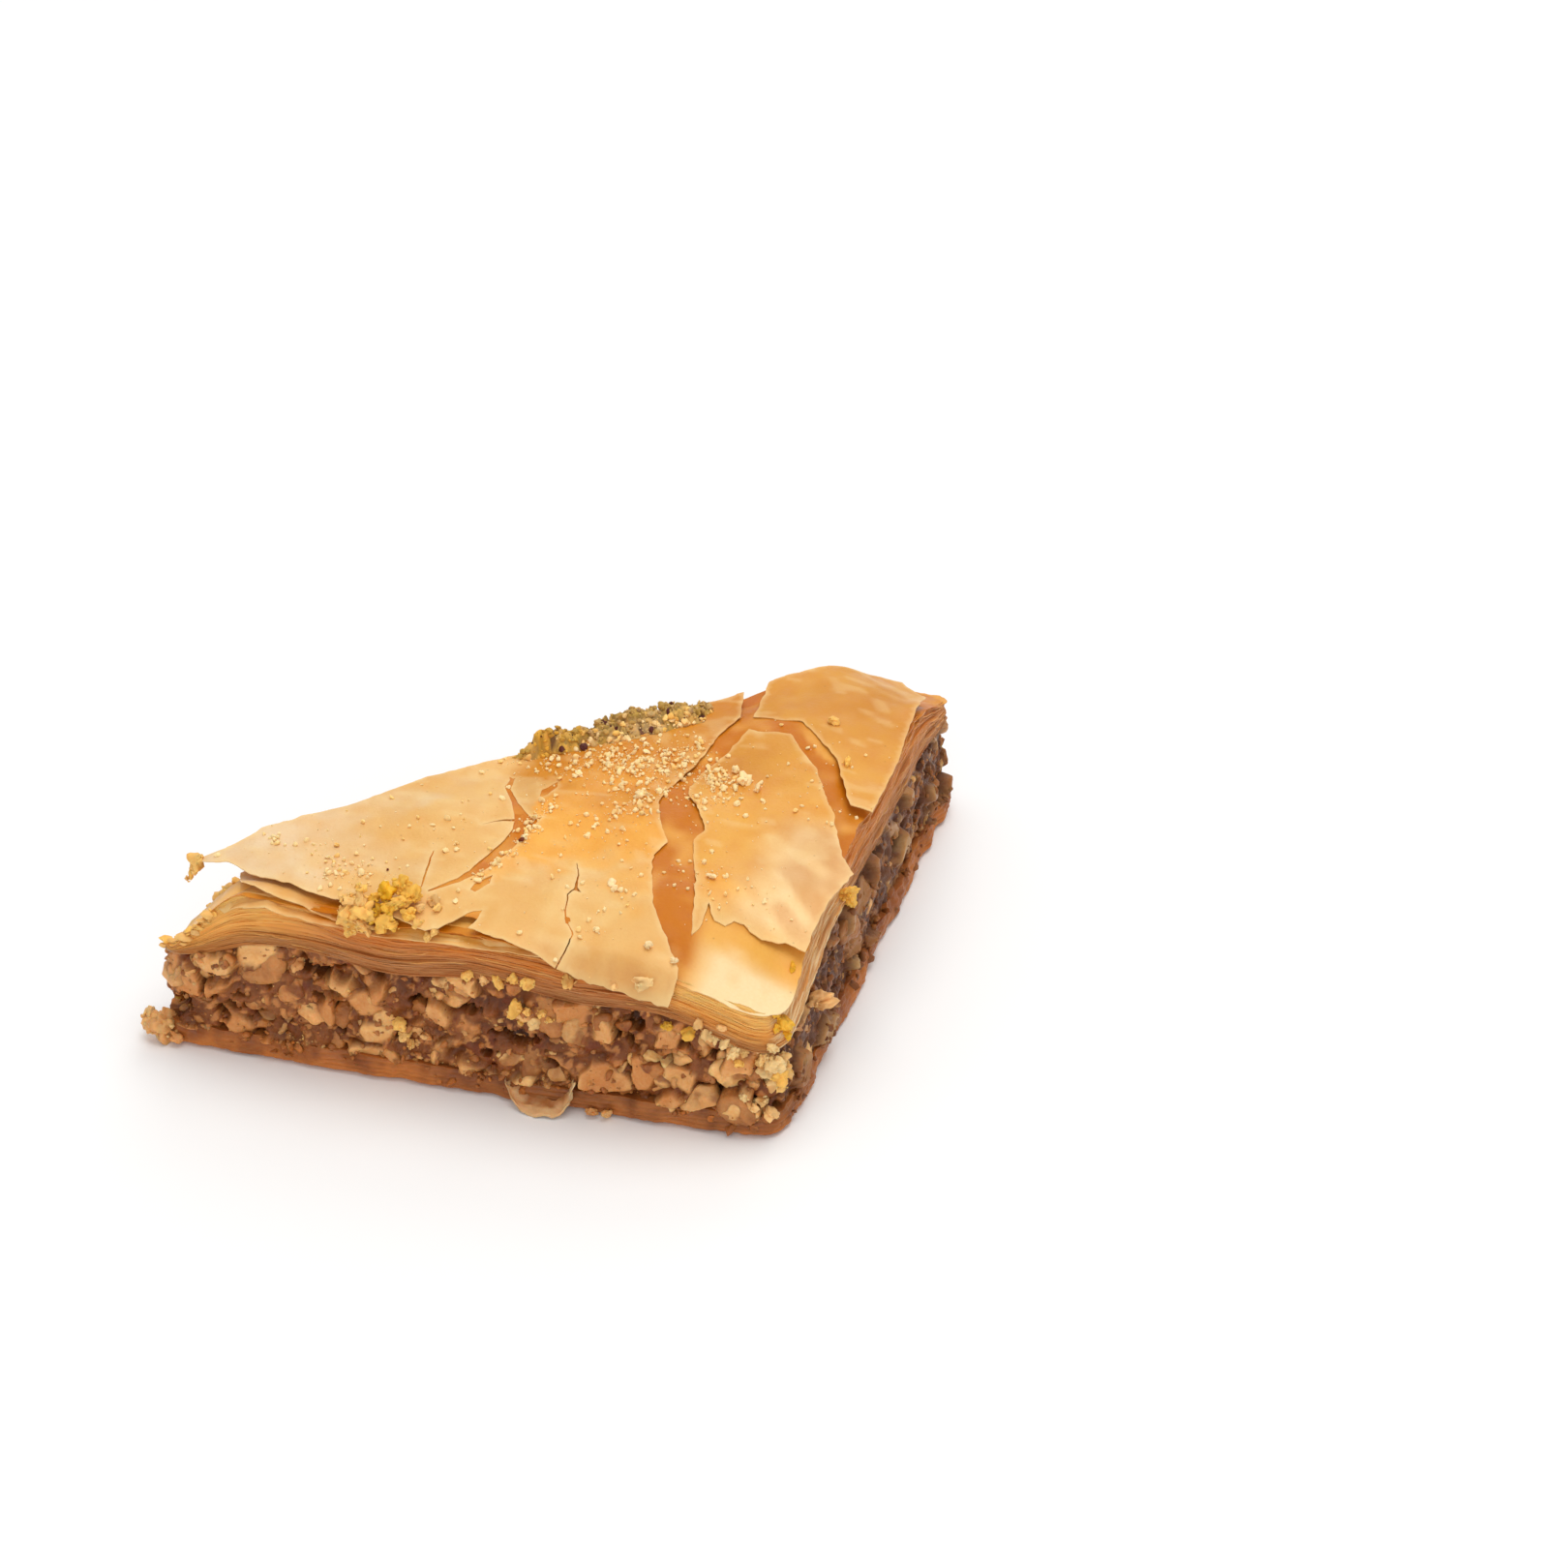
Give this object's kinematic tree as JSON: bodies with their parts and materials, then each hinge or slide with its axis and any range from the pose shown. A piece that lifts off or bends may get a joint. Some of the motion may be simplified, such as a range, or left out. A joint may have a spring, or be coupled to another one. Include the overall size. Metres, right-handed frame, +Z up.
{
  "type": "baklava",
  "caption": "triangular piece of layered nut pastry: thin soaked base, coarse chopped nut filling, stack of flaky leaves with torn top sheets and a low heap of ground pistachio",
  "frame": {"origin": "on the flat underside, under the middle of the triangle's inscribed circle", "axes": "+Z up. The right-angled corner points to +X -Y, one cut side faces -Y, the other faces +X, and the long side with the pistachio faces -X +Y"},
  "size_m": [0.0637, 0.0625, 0.0205],
  "materials": {
    "soaked_pastry": null,
    "chopped_nuts": null,
    "baked_pastry": null,
    "ground_pistachio": null
  },
  "bodies": {
    "root": {"bottom_pastry": "soaked_pastry", "nut_filling": "chopped_nuts", "top_pastry": "baked_pastry", "pistachio_mound": "ground_pistachio"}
  },
  "joints": []
}
